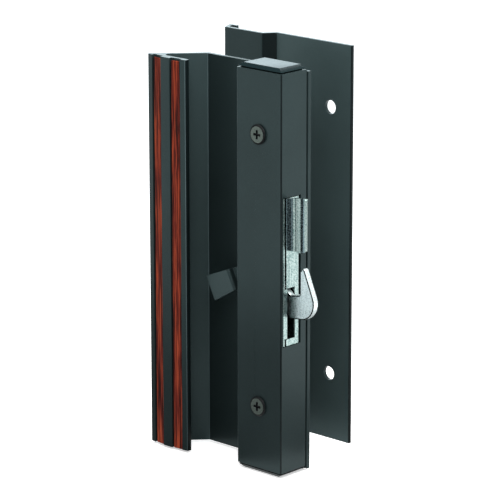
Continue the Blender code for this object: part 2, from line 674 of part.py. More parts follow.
def build_wave_washer(front):
    """Sprung washer that holds the lever where it is put."""
    data = bmesh.new()
    steps = 48
    rings = []
    for step in range(steps):
        angle = 2 * math.pi * step / steps
        middle = front + WASHER_SHEET / 2 + WASHER_WAVE * (1 + math.sin(WASHER_WAVES * angle))
        ring = []
        for radius, side in ((PIVOT_HOLE / 2, -1), (WASHER_DIAMETER / 2, -1),
                             (WASHER_DIAMETER / 2, 1), (PIVOT_HOLE / 2, 1)):
            ring.append(data.verts.new((radius * math.cos(angle), middle + side * WASHER_SHEET / 2,
                                        radius * math.sin(angle))))
        rings.append(ring)
    for step, ring in enumerate(rings):
        following = rings[(step + 1) % steps]
        for index in range(4):
            nearby = (index + 1) % 4
            data.faces.new((ring[index], ring[nearby], following[nearby], following[index]))
    shade(new_object("wave_washer", data, STEEL))


# Moving pieces

def pivot_point():
    return (0.0, (HOOK_FRONT_Y + HOOK_BACK_Y) / 2, 0.0)


def hook_outline():
    """Hook from the pivot hub through the neck to the upturned nose."""
    nose = Vector((HOOK_NOSE_X, HOOK_NOSE_Z))
    tip = Vector((HOOK_TIP_X, HOOK_TIP_Z - HOOK_TIP_RADIUS))
    apart = tip - nose
    tangent = math.degrees(math.atan2(apart.y, apart.x)
                           - math.acos((HOOK_NOSE_RADIUS - HOOK_TIP_RADIUS) / apart.length))
    points = [(HOOK_NECK_X, HOOK_NECK_LOW_Z)]
    points += arc(nose, HOOK_NOSE_RADIUS, -92, tangent, 24)
    points += arc(tip, HOOK_TIP_RADIUS, tangent, 170, 6)
    throat = rounded([(HOOK_THROAT_X, HOOK_TIP_Z - 1.5, 0), (HOOK_THROAT_X, HOOK_THROAT_Z, 0.9),
                      (HOOK_NECK_X, HOOK_NECK_TOP_Z, 0)], 30)
    points += throat
    hub_top = hub_meeting(HOOK_NECK_X + HOOK_NECK_TOP_Z)
    hub_low = hub_meeting(HOOK_NECK_X + HOOK_NECK_LOW_Z) + 360
    points += arc((0.0, 0.0), HUB_RADIUS, hub_top, hub_low, 20)
    return points


def hub_meeting(offset):
    """Angle on the hub where the neck's edge, running up to the left at 45 degrees, meets it."""
    share = offset / math.sqrt(2) / HUB_RADIUS
    return 45.0 - math.degrees(math.acos(max(-1.0, min(1.0, share))))


def build_hook():
    hook = prism("hook", hook_outline(), HOOK_FRONT_Y, HOOK_BACK_Y, "Y", ZINC, pivot_point())
    bevel = hook.modifiers.new("edge", "BEVEL")
    bevel.width = HOOK_EDGE * MM
    bevel.segments = 2
    bevel.limit_method = "ANGLE"
    bevel.angle_limit = math.radians(40)
    drill(hook, "pivot", (0.0, 0.0), PIVOT_HOLE, HOOK_FRONT_Y - 1, HOOK_BACK_Y + 1)
    drill(hook, "drive", (DRIVE_X, DRIVE_Z), DRIVE_DIAMETER + HOLE_CLEARANCE, HOOK_FRONT_Y - 1, HOOK_BACK_Y + 1)
    shade(hook)


def lever_point(along, across):
    """Point in the plane of the lever, along its arm away from the hook and across it."""
    tilt = math.radians(LEVER_ANGLE)
    return (-along * math.cos(tilt) - across * math.sin(tilt), -along * math.sin(tilt) + across * math.cos(tilt))


def lever_outline():
    """Arm and pad of the lever from the front."""
    corners = [(2.0, ARM_HIGH, 0), (PAD_INNER - 3.5, ARM_HIGH, 0), (PAD_INNER, PAD_INNER_HIGH, 0),
               (PAD_OUTER, PAD_OUTER_HIGH, PAD_CORNER_RADIUS), (PAD_OUTER, PAD_OUTER_LOW, PAD_CORNER_RADIUS),
               (PAD_INNER, PAD_INNER_LOW, 0), (PAD_INNER - 3.5, ARM_LOW, 0), (2.0, ARM_LOW - 2.0, 0)]
    return rounded([(*lever_point(along, across), radius) for along, across, radius in corners])


def build_lever():
    """Thumb lever: a sheet folded from the arm's plane to the pad's, cut to the lever's outline."""
    origin = pivot_point()
    arm_mid = LEVER_FRONT_Y + LEVER_SHEET / 2
    pad_mid = arm_mid - PAD_STEP
    fold_x = -PAD_INNER - LEVER_SHEET / 2
    path = [(HUB_RADIUS + 2, arm_mid, 0), (fold_x, arm_mid, FOLD_RADIUS),
            (fold_x, pad_mid, FOLD_RADIUS), (-PAD_OUTER - 2, pad_mid, 0)]
    lever = prism("thumb_lever", folded_strip(path, LEVER_SHEET), -15, 12, "Z", PAINT, origin)
    lever.data.transform(Matrix.Rotation(-math.radians(LEVER_ANGLE), 4, "Y"))
    blank = prism("keep_lever_blank", lever_outline(), pad_mid - 3, arm_mid + 3, "Y")
    hub = prism("join_lever_hub", circle((0.0, 0.0), 2 * HUB_RADIUS, 40), pad_mid - 4, arm_mid + 4, "Y")
    ear_angle = math.degrees(math.atan2(DRIVE_Z, DRIVE_X))
    ear_out = arc((DRIVE_X, DRIVE_Z), EAR_RADIUS, ear_angle - 90, ear_angle + 90, 12)
    ear_in = arc((0.0, 0.0), EAR_RADIUS, ear_angle + 90, ear_angle + 270, 12)
    ear = prism("join_lever_ear", ear_out + ear_in, pad_mid - 5, arm_mid + 5, "Y")
    boolean(blank, hub, "UNION")
    boolean(blank, ear, "UNION")
    boolean(lever, blank, "INTERSECT")
    drill(lever, "pivot", (0.0, 0.0), PIVOT_HOLE, LEVER_FRONT_Y - 1, LEVER_BACK_Y + 1)
    drill(lever, "drive", (DRIVE_X, DRIVE_Z), DRIVE_DIAMETER + HOLE_CLEARANCE, LEVER_FRONT_Y - 1, LEVER_BACK_Y + 1)
    shade(lever)


def build_drive_rivet():
    """Rivet that makes the hook and the lever turn as one."""
    radius = DRIVE_DIAMETER / 2
    head = RIVET_HEAD_DIAMETER / 2
    seat = HOOK_FRONT_Y - GAP
    turned("drive_rivet", [(0.0, seat - RIVET_HEAD_HEIGHT), (0.7 * head, seat - RIVET_HEAD_HEIGHT),
                           (head, seat), (radius, seat), (radius, LEVER_BACK_Y), (0.0, LEVER_BACK_Y)],
           (DRIVE_X, DRIVE_Z), STEEL, 24, pivot_point())


# Outside pull

def outside_pull_outline():
    """Flange, step, finger channel and hooked lip, in plan."""
    front = DOOR_THICKNESS
    back = front + PULL_THICKNESS
    floor_front = front - CHANNEL_DEPTH
    floor_back = floor_front + PULL_THICKNESS
    step_slope = PULL_STEP_RUN / CHANNEL_DEPTH
    step_shift = PULL_THICKNESS * math.hypot(1.0, step_slope)
    lip_slope = LIP_RUN / (back - floor_front)
    lip_shift = PULL_THICKNESS * math.hypot(1.0, lip_slope)
    floor_right = PULL_STEP_X - PULL_STEP_RUN
    edge = PULL_EDGE_RADIUS
    return rounded([
        (PULL_RIGHT, front, edge), (PULL_RIGHT, back, edge),
        (PULL_STEP_X + step_slope * PULL_THICKNESS - step_shift, back, edge),
        (floor_right + step_slope * PULL_THICKNESS - step_shift, floor_back, edge),
        (CHANNEL_LEFT - lip_slope * PULL_THICKNESS + lip_shift, floor_back, edge),
        (CHANNEL_LEFT - lip_slope * CHANNEL_DEPTH + lip_shift, front, edge),
        (RETURN_END, front, edge), (RETURN_END, back, edge),
        (CHANNEL_LEFT - LIP_RUN, back, 2 * edge), (CHANNEL_LEFT, floor_front, edge),
        (floor_right, floor_front, edge), (PULL_STEP_X, front, edge)], 30)


def build_outside_pull():
    pull = prism("outside_pull", outside_pull_outline(), PULL_RAISE - PULL_LENGTH / 2,
                 PULL_RAISE + PULL_LENGTH / 2, "Z", PAINT)
    for label, side in (("upper", 1), ("lower", -1)):
        drill(pull, label, (0.0, PULL_HOLE_RAISE + side * SCREW_Z), PULL_HOLE_DIAMETER,
              DOOR_THICKNESS - 1, DOOR_THICKNESS + PULL_THICKNESS + 1)
    shade(pull)


def main():
    clear_scene()
    build_pull_extrusion()
    build_strips()
    build_cover()
    build_cap("top_cap", 1)
    build_cap("bottom_cap", -1)
    for label, z in SCREW_PLACES:
        build_mounting_screw("mounting_screw_" + label, z)
        build_sleeve("screw_sleeve_" + label, z)
    build_frame()
    build_front_plate()
    build_posts()
    build_pivot()
    build_hook()
    build_lever()
    build_drive_rivet()
    build_outside_pull()


main()
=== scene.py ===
import json
import math

import bmesh
import bpy
from mathutils import Matrix, Vector


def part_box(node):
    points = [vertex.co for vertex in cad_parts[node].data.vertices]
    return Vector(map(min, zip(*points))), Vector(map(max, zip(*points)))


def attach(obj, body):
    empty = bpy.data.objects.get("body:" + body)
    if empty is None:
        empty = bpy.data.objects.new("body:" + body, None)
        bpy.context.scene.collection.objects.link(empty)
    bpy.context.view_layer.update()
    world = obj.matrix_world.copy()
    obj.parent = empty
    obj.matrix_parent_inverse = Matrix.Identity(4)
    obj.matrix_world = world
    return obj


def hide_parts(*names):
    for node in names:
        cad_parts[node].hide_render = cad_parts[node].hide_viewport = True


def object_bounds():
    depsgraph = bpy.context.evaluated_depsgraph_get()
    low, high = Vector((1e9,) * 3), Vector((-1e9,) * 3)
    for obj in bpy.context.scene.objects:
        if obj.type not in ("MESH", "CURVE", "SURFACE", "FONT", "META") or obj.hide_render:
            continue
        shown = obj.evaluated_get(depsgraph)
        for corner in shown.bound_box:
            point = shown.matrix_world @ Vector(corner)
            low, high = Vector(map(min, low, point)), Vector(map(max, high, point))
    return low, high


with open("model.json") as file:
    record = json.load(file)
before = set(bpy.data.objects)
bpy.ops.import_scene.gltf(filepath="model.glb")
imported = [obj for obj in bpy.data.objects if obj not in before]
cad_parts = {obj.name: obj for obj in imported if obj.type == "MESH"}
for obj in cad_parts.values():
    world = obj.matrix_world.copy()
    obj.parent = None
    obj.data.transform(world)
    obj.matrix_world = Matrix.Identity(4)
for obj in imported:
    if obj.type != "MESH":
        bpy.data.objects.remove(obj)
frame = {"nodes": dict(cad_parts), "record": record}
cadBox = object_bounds()
nodes = frame["nodes"]
mm = 0.001
colourA, colourB, colourOut = 6, 7, 2      # a Mix node's colour sockets have to be asked for by index
print("frame loaded")


# small helpers

def hexColour(text):
    channels = [int(text[i:i + 2], 16) / 255 for i in (1, 3, 5)]
    return tuple(c / 12.92 if c <= 0.04045 else ((c + 0.055) / 1.055) ** 2.4 for c in channels) + (1.0,)


def addNode(tree, kind, settings=None, inputs=None):
    node = tree.nodes.new(kind)
    for key, value in (settings or {}).items():
        setattr(node, key, value)
    for key, value in (inputs or {}).items():
        if isinstance(value, bpy.types.NodeSocket):
            tree.links.new(value, node.inputs[key])
        else:
            node.inputs[key].default_value = value
    return node


def newMaterial(name, shaderInputs):
    material = bpy.data.materials.new(name)
    material.use_nodes = True
    tree = material.node_tree
    shader = tree.nodes["Principled BSDF"]
    for key, value in shaderInputs.items():
        shader.inputs[key].default_value = value
    return material, tree, shader


def setRamp(ramp, places, colours):
    elements = ramp.color_ramp.elements
    while len(elements) > 1:
        elements.remove(elements[-1])
    elements[0].position = places[0]
    elements[0].color = hexColour(colours[0])
    for place, colour in zip(places[1:], colours[1:]):
        elements.new(place).color = hexColour(colour)


def plainMesh(source, name):
    # modifiers applied, as a mesh of its own with nothing live on it
    bpy.context.view_layer.update()
    evaluated = source.evaluated_get(bpy.context.evaluated_depsgraph_get())
    mesh = bpy.data.meshes.new_from_object(evaluated)
    mesh.name = name
    bpy.data.objects.remove(source)
    piece = bpy.data.objects.new(name, mesh)
    bpy.context.scene.collection.objects.link(piece)
    return piece


def wear(piece, material, body, slot, *replaced):
    if material:
        piece.data.materials.clear()
        piece.data.materials.append(material)
    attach(piece, body)
    if replaced:
        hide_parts(*replaced)
    return piece


# materials

powderCoat = {
    "colour": "#293536",
    "shade": "#242f30",
    "fleck": "#374646",
    "metallic": 0.55,        # bronze-grey flakes in the powder: even the gloss keeps the coat's tint
    "roughness": 0.32,
    "specular": 0.12,
    "cloudSize": 40.0,       # mm, slow random change of the coat's colour
    "cloudRamp": (0.3, 0.7),
    "paintedLightFalloff": (-94.0, 98.0, 0.80, 1.14),      # mm and share: painted shade and light, the colour darker towards the lower end and lighter at the top, as the light falls off downward
    "fleckSize": 0.22,       # mm, drawn coarser than real flakes so that they show
    "fleckBand": (0.52, 0.78),
    "fleckShare": 0.5,
    "peelSize": 1.3,         # mm, orange peel of the sprayed powder
    "peelDepth": 0.010,      # mm
    "grainSize": 0.30,       # mm
    "grainDepth": 0.006,
}


def makePowderCoat(name, look):
    # charcoal polyester powder with fine metal flakes on aluminium: dark, satin, slight orange peel
    material, tree, shader = newMaterial(name, {
        "Metallic": look["metallic"], "Roughness": look["roughness"], "IOR": 1.5,
        "Specular IOR Level": look["specular"]})
    place = addNode(tree, "ShaderNodeTexCoord")
    point = place.outputs["Object"]
    cloud = addNode(tree, "ShaderNodeTexNoise", inputs={
        "Vector": point, "Scale": 1 / (look["cloudSize"] * mm), "Detail": 3.0, "Roughness": 0.5})
    tone = addNode(tree, "ShaderNodeValToRGB", inputs={"Fac": cloud.outputs["Fac"]})
    setRamp(tone, look["cloudRamp"], (look["shade"], look["colour"]))

    fleck = addNode(tree, "ShaderNodeTexNoise", inputs={
        "Vector": point, "Scale": 1 / (look["fleckSize"] * mm), "Detail": 1.0})
    fleckShare = addNode(tree, "ShaderNodeMapRange", inputs={
        "Value": fleck.outputs["Fac"], "From Min": look["fleckBand"][0], "From Max": look["fleckBand"][1],
        "To Min": 0.0, "To Max": look["fleckShare"]})
    flecked = addNode(tree, "ShaderNodeMix", {"data_type": "RGBA"}, {
        "Factor": fleckShare.outputs["Result"], colourA: tone.outputs["Color"],
        colourB: hexColour(look["fleck"])})

    parts = addNode(tree, "ShaderNodeSeparateXYZ", inputs={"Vector": point})
    # painted light and shade: the colour is multiplied darker towards the lower end and lighter at the top
    low, high, least, most = look["paintedLightFalloff"]
    paintedLightFalloff = addNode(tree, "ShaderNodeMapRange", inputs={
        "Value": parts.outputs["Z"], "From Min": low * mm, "From Max": high * mm,
        "To Min": least, "To Max": most})
    paintedLightTone = addNode(tree, "ShaderNodeMix", {"data_type": "RGBA", "blend_type": "MULTIPLY"}, {
        "Factor": 1.0, colourA: flecked.outputs[colourOut], colourB: paintedLightFalloff.outputs["Result"]})
    tree.links.new(paintedLightTone.outputs[colourOut], shader.inputs["Base Color"])

    peel = addNode(tree, "ShaderNodeTexNoise", inputs={
        "Vector": point, "Scale": 1 / (look["peelSize"] * mm), "Detail": 1.0})
    grain = addNode(tree, "ShaderNodeTexNoise", inputs={
        "Vector": point, "Scale": 1 / (look["grainSize"] * mm), "Detail": 2.0})
    peelBump = addNode(tree, "ShaderNodeBump", inputs={
        "Height": peel.outputs["Fac"], "Distance": look["peelDepth"] * mm, "Strength": 1.0})
    grainBump = addNode(tree, "ShaderNodeBump", inputs={
        "Height": grain.outputs["Fac"], "Distance": look["grainDepth"] * mm, "Strength": 1.0,
        "Normal": peelBump.outputs["Normal"]})
    tree.links.new(grainBump.outputs["Normal"], shader.inputs["Normal"])
    return material


woodGrain = {
    "light": "#86371f", "middle": "#561910", "dark": "#240805",
    "ramp": (0.38, 0.48, 0.62),
    "roughness": 0.48,
    "specular": 0.08,
    "streakWidth": 0.9,      # mm across the strip
    "streakLength": 26.0,    # mm along it
    "poreWidth": 0.25,       # mm
    "poreLength": 9.0,
    "poreDepth": 0.02,
    "poreBand": (0.34, 0.46),
    "poreShade": 0.55,
}


def makeWoodGrain(name, look):
    # printed and embossed red-brown wood grain on vinyl: long streaks with darker pores
    material, tree, shader = newMaterial(name, {
        "Metallic": 0.0, "Roughness": look["roughness"], "IOR": 1.5, "Specular IOR Level": look["specular"]})
    place = addNode(tree, "ShaderNodeTexCoord")
    across, along = 1 / (look["streakWidth"] * mm), 1 / (look["streakLength"] * mm)
    streakPoint = addNode(tree, "ShaderNodeMapping", inputs={
        "Vector": place.outputs["Object"], "Scale": (across, across, along)})
    across, along = 1 / (look["poreWidth"] * mm), 1 / (look["poreLength"] * mm)
    porePoint = addNode(tree, "ShaderNodeMapping", inputs={
        "Vector": place.outputs["Object"], "Scale": (across, across, along)})
    streak = addNode(tree, "ShaderNodeTexNoise", inputs={
        "Vector": streakPoint.outputs["Vector"], "Scale": 1.0, "Detail": 4.0, "Roughness": 0.6,
        "Distortion": 0.4})
    pore = addNode(tree, "ShaderNodeTexNoise", inputs={
        "Vector": porePoint.outputs["Vector"], "Scale": 1.0, "Detail": 2.0})
    tone = addNode(tree, "ShaderNodeValToRGB", inputs={"Fac": streak.outputs["Fac"]})
    setRamp(tone, look["ramp"], (look["dark"], look["middle"], look["light"]))
    poreMask = addNode(tree, "ShaderNodeMapRange", inputs={
        "Value": pore.outputs["Fac"], "From Min": look["poreBand"][0], "From Max": look["poreBand"][1],
        "To Min": look["poreShade"], "To Max": 1.0})
    darkened = addNode(tree, "ShaderNodeMix", {"data_type": "RGBA", "blend_type": "MULTIPLY"}, {
        "Factor": 1.0, colourA: tone.outputs["Color"], colourB: poreMask.outputs["Result"]})
    tree.links.new(darkened.outputs[colourOut], shader.inputs["Base Color"])
    bump = addNode(tree, "ShaderNodeBump", inputs={
        "Height": pore.outputs["Fac"], "Distance": look["poreDepth"] * mm, "Strength": 1.0})
    tree.links.new(bump.outputs["Normal"], shader.inputs["Normal"])
    return material


zincPlate = {
    "light": "#afc0bd", "dark": "#5e7775",
    "ramp": (0.58, 0.86),
    "metallic": 1.0,
    "roughness": (0.24, 0.42),
    "grainSize": 0.7,        # mm, grain of the zinc coat
    "grainDepth": 0.010,
    "grainBand": (0.35, 0.65),
    "rollLength": 14.0,      # mm, faint rolling marks of the sheet
    "rollWidth": 0.35,
    "rollShare": 0.45,
}


def makeZincPlate(name, look):
    # zinc-coated steel sheet: pale cool metal, cloudy grain with duller and brighter patches
    material, tree, shader = newMaterial(name, {"Metallic": look["metallic"]})
    place = addNode(tree, "ShaderNodeTexCoord")
    grain = addNode(tree, "ShaderNodeTexNoise", inputs={
        "Vector": place.outputs["Object"], "Scale": 1 / (look["grainSize"] * mm), "Detail": 3.0,
        "Roughness": 0.65})
    across, along = 1 / (look["rollWidth"] * mm), 1 / (look["rollLength"] * mm)
    rollPoint = addNode(tree, "ShaderNodeMapping", inputs={
        "Vector": place.outputs["Object"], "Scale": (across, across, along)})
    roll = addNode(tree, "ShaderNodeTexNoise", inputs={
        "Vector": rollPoint.outputs["Vector"], "Scale": 1.0, "Detail": 2.0})
    both = addNode(tree, "ShaderNodeMath", {"operation": "MULTIPLY_ADD"}, {
        0: roll.outputs["Fac"], 1: look["rollShare"], 2: grain.outputs["Fac"]})
    tone = addNode(tree, "ShaderNodeValToRGB", inputs={"Fac": both.outputs["Value"]})
    setRamp(tone, look["ramp"], (look["dark"], look["light"]))
    tree.links.new(tone.outputs["Color"], shader.inputs["Base Color"])
    rough = addNode(tree, "ShaderNodeMapRange", inputs={
        "Value": grain.outputs["Fac"], "From Min": look["grainBand"][0], "From Max": look["grainBand"][1],
        "To Min": look["roughness"][0], "To Max": look["roughness"][1]})
    tree.links.new(rough.outputs["Result"], shader.inputs["Roughness"])
    bump = addNode(tree, "ShaderNodeBump", inputs={
        "Height": both.outputs["Value"], "Distance": look["grainDepth"] * mm, "Strength": 1.0})
    tree.links.new(bump.outputs["Normal"], shader.inputs["Normal"])
    return material


blackNylon = {
    "colour": "#0c1b1d", "gloss": "#dcf6ff",
    "roughness": 0.22,
    "specular": 0.06,
    "textureSize": 0.5,      # mm
    "textureDepth": 0.006,
}


def makeBlackNylon(name, look):
    # injection-moulded black nylon: smooth, with a faint even mould texture
    material, tree, shader = newMaterial(name, {
        "Base Color": hexColour(look["colour"]), "Metallic": 0.0, "Roughness": look["roughness"], "IOR": 1.53,
        "Specular IOR Level": look["specular"], "Specular Tint": hexColour(look["gloss"])})
    place = addNode(tree, "ShaderNodeTexCoord")
    texture = addNode(tree, "ShaderNodeTexNoise", inputs={
        "Vector": place.outputs["Object"], "Scale": 1 / (look["textureSize"] * mm), "Detail": 2.0})
    bump = addNode(tree, "ShaderNodeBump", inputs={
        "Height": texture.outputs["Fac"], "Distance": look["textureDepth"] * mm, "Strength": 1.0})
    tree.links.new(bump.outputs["Normal"], shader.inputs["Normal"])
    return material


blackOxide = {
    "colour": "#05080a", "rubbed": "#0c1011",
    "ramp": (0.35, 0.75),
    "metallic": 0.0,
    "roughness": 0.42,
    "specular": 0.15,
    "textureSize": 0.4,      # mm
    "textureDepth": 0.006,
}


def makeBlackOxide(name, look):
    # black-oxide steel: a near-black coat with a low gloss and slightly brighter rubbed patches
    material, tree, shader = newMaterial(name, {
        "Metallic": look["metallic"], "Roughness": look["roughness"], "Specular IOR Level": look["specular"]})
    place = addNode(tree, "ShaderNodeTexCoord")
    texture = addNode(tree, "ShaderNodeTexNoise", inputs={
        "Vector": place.outputs["Object"], "Scale": 1 / (look["textureSize"] * mm), "Detail": 3.0})
    tone = addNode(tree, "ShaderNodeValToRGB", inputs={"Fac": texture.outputs["Fac"]})
    setRamp(tone, look["ramp"], (look["colour"], look["rubbed"]))
    tree.links.new(tone.outputs["Color"], shader.inputs["Base Color"])
    bump = addNode(tree, "ShaderNodeBump", inputs={
        "Height": texture.outputs["Fac"], "Distance": look["textureDepth"] * mm, "Strength": 1.0})
    tree.links.new(bump.outputs["Normal"], shader.inputs["Normal"])
    return material


turnedSteel = {
    "colour": "#b9bdbe",
    "roughness": 0.30,
    "ringPitch": 0.22,       # mm, coarser than real tool rings so that they show
    "ringDepth": 0.004,
    "waveBands": 3.2,        # bands in one unit of the wave texture
}


def makeTurnedSteel(name, look):
    # bright turned steel: fine tool rings round the pin
    material, tree, shader = newMaterial(name, {
        "Base Color": hexColour(look["colour"]), "Metallic": 1.0, "Roughness": look["roughness"]})
    place = addNode(tree, "ShaderNodeTexCoord")
    rings = addNode(tree, "ShaderNodeTexWave", {"wave_type": "BANDS", "bands_direction": "Y"}, {
        "Vector": place.outputs["Object"], "Scale": 1 / (look["ringPitch"] * mm) / look["waveBands"],
        "Distortion": 0.6})
    bump = addNode(tree, "ShaderNodeBump", inputs={
        "Height": rings.outputs["Fac"], "Distance": look["ringDepth"] * mm, "Strength": 1.0})
    tree.links.new(bump.outputs["Normal"], shader.inputs["Normal"])
    return material


# lit and shaded copies of the coat: painted light on the web's front, the pad's face and the outside pull's
# flange, painted highlights on some corners, and painted shade on other corners and on the outside pull's step
paintedLightCoat = dict(powderCoat, colour="#354344", shade="#303d3e", fleck="#424f50", metallic=0.36)
paintedLightFlangeCoat = dict(paintedLightCoat, colour="#3e4d4e", shade="#384647", fleck="#4b5a5b")
paintedHighlightCoat = dict(powderCoat, colour="#56676a", shade="#4d5d60", fleck="#617276")
paintedShadeCoat = dict(powderCoat, colour="#0d1516", shade="#0a1112", fleck="#141d1e", metallic=0.2)

# zinc on the thicker hook; on its ground rim, painted near-white as a highlight; a near-black line of painted
# shade on its broken corner; and painted shade where the guard tab's step and rim mirror the cover's dark wall
blankedZinc = dict(zincPlate, light="#d3e3e5", dark="#a6b9bc", rollLength=9.0)
groundRimHighlight = dict(zincPlate, light="#dde8e8", dark="#bccaca", metallic=0.55)
paintedShadeCorner = dict(zincPlate, light="#131b1e", dark="#0a0f11", roughness=(0.14, 0.24))
paintedShadeStep = dict(zincPlate, light="#74898e", dark="#4d5f65", roughness=(0.20, 0.34))

# the screws' driver ends, given a lighter and glossier oxide than the rest of the screw
lighterHeadOxide = dict(blackOxide, colour="#39433f", rubbed="#5a645e", metallic=0.6, roughness=0.34, specular=0.4)

paint = makePowderCoat("charcoalPowderCoat", powderCoat)
paintedLightPaint = makePowderCoat("paintedLightCharcoalCoat", paintedLightCoat)
paintedLightFlangePaint = makePowderCoat("paintedLightFlangeCharcoalCoat", paintedLightFlangeCoat)
paintedHighlightPaint = makePowderCoat("paintedHighlightCharcoalCoat", paintedHighlightCoat)
paintedShadePaint = makePowderCoat("paintedShadeCharcoalCoat", paintedShadeCoat)
wood = makeWoodGrain("woodGrainVinyl", woodGrain)
zinc = makeZincPlate("zincCoatedSheetSteel", zincPlate)
hookZinc = makeZincPlate("zincCoatedBlankedSteel", blankedZinc)
# painted shade on the guard tab's step and rim, a painted highlight on the hook's rim, a painted shade line on
# the hook's corner
paintedShadeTabZinc = makeZincPlate("paintedShadeZincSheet", paintedShadeStep)
rimHighlightZinc = makeZincPlate("groundZincRimHighlight", groundRimHighlight)
shadeLineZinc = makeZincPlate("paintedShadeZincCorner", paintedShadeCorner)
nylon = makeBlackNylon("blackMouldedNylon", blackNylon)
blackSteel = makeBlackOxide("blackOxideSteel", blackOxide)
lighterHeadSteel = makeBlackOxide("lighterHeadBlackOxideSteel", lighterHeadOxide)
steel = makeTurnedSteel("turnedBrightSteel", turnedSteel)
print("materials made")


# pieces that keep their CAD shape and get their edges broken

edgeLook = {
    "merge": 0.002,          # mm, which joins the CAD mesh's loose triangles
    "flat": 0.6,             # degrees, up to which triangles are one face
    "sharp": 32,             # degrees, from which an edge is broken
    "segments": 2,
}


def mergedCopy(nodeName):
    mesh = bmesh.new()
    mesh.from_mesh(nodes[nodeName].data)
    bmesh.ops.remove_doubles(mesh, verts=mesh.verts, dist=edgeLook["merge"] * mm)
    return mesh


def joinFlats(mesh):
    flat = math.radians(edgeLook["flat"])
    bmesh.ops.dissolve_limit(mesh, angle_limit=flat, verts=mesh.verts, edges=mesh.edges)


def brokenEdges(mesh, nodeName, width):
    data = bpy.data.meshes.new(nodeName + "Soft")
    mesh.to_mesh(data)
    mesh.free()
    data.shade_smooth()
    piece = bpy.data.objects.new(nodeName + "Soft", data)
    bpy.context.scene.collection.objects.link(piece)
    bevel = piece.modifiers.new("edges", "BEVEL")
    bevel.width = width * mm
    bevel.segments = edgeLook["segments"]
    bevel.limit_method = "ANGLE"
    bevel.angle_limit = math.radians(edgeLook["sharp"])
    piece.modifiers.new("normals", "WEIGHTED_NORMAL").keep_sharp = True
    return plainMesh(piece, nodeName + "Dressed")


softEdges = {
    "pull_extrusion": {"material": paint, "slot": "charcoal_paint", "width": 0.18},
    "latch_cover": {
        "material": paint, "slot": "charcoal_paint", "width": 0.15,
        # sheared ends and back edges: (axis, from, to) mm, which open dark reveals at caps and base
        "trim": ((2, 92.07, 91.70), (2, -92.07, -91.70), (1, -2.3, -2.75)),
    },
    "outside_pull": {"material": paint, "slot": "charcoal_paint", "width": 0.18},
    "thumb_lever": {"material": paint, "slot": "charcoal_paint", "width": 0.32},
    "top_cap": {"material": nylon, "slot": "black_plastic", "width": 0.20},
    "bottom_cap": {"material": nylon, "slot": "black_plastic", "width": 0.20},
    "latch_frame": {
        "material": zinc, "slot": "zinc_sheet", "width": 0.12,
        # (X, Y) of the guard tab's front as stamped, and where the last draw leaves it, mm
        "tabBefore": ((13.6, -16.1), (15.3, -16.1), (17.2, -15.0), (21.2, -15.0), (23.1, -13.6)),
        "tabAfter": ((13.6, -16.1), (15.8, -14.1), (20.3, -14.1), (21.7, -12.8), (23.1, -12.8)),
        "tabCuts": (14.2, 15.0, 15.8, 16.6, 20.3, 21.0, 21.7, 22.3),      # X of the bends, mm
    },
    "case_front_plate": {"material": zinc, "slot": "zinc_sheet", "width": 0.10},
    "hook": {
        "material": hookZinc, "slot": "zinc_sheet", "width": 0.50,
        "paintedShadeLine": 0.28,       # mm, border of the flat faces that gets the near-black painted shade line
        "faceFrom": 0.95, "rimBelow": 0.25,      # share of the normal along the pivot
    },
}
trimReach = 0.02             # mm


def alongPath(path, x):
    for (x0, y0), (x1, y1) in zip(path, path[1:]):
        if x <= x1:
            return y0 + (y1 - y0) * max(0.0, x - x0) / (x1 - x0)
    return path[-1][1]


def drawTab(mesh, look):
    # the guard tab's section gets its slanted step and its turned-back rim
    for x in look["tabCuts"]:
        bmesh.ops.bisect_plane(mesh, geom=mesh.verts[:] + mesh.edges[:] + mesh.faces[:],
                               plane_co=(x * mm, 0, 0), plane_no=(1, 0, 0), dist=0.0001 * mm)
    for vert in mesh.verts:
        x = vert.co.x / mm
        if x > look["tabBefore"][0][0]:
            vert.co.y += (alongPath(look["tabAfter"], x) - alongPath(look["tabBefore"], x)) * mm


def softened(nodeName, look):
    mesh = mergedCopy(nodeName)
    if "tabAfter" in look:
        drawTab(mesh, look)
    for axis, before, after in look.get("trim", ()):
        for vert in mesh.verts:
            if abs(vert.co[axis] / mm - before) < trimReach:
                vert.co[axis] = after * mm
    joinFlats(mesh)
    bmesh.ops.connect_verts_concave(mesh, faces=mesh.faces)
    return brokenEdges(mesh, nodeName, look["width"])


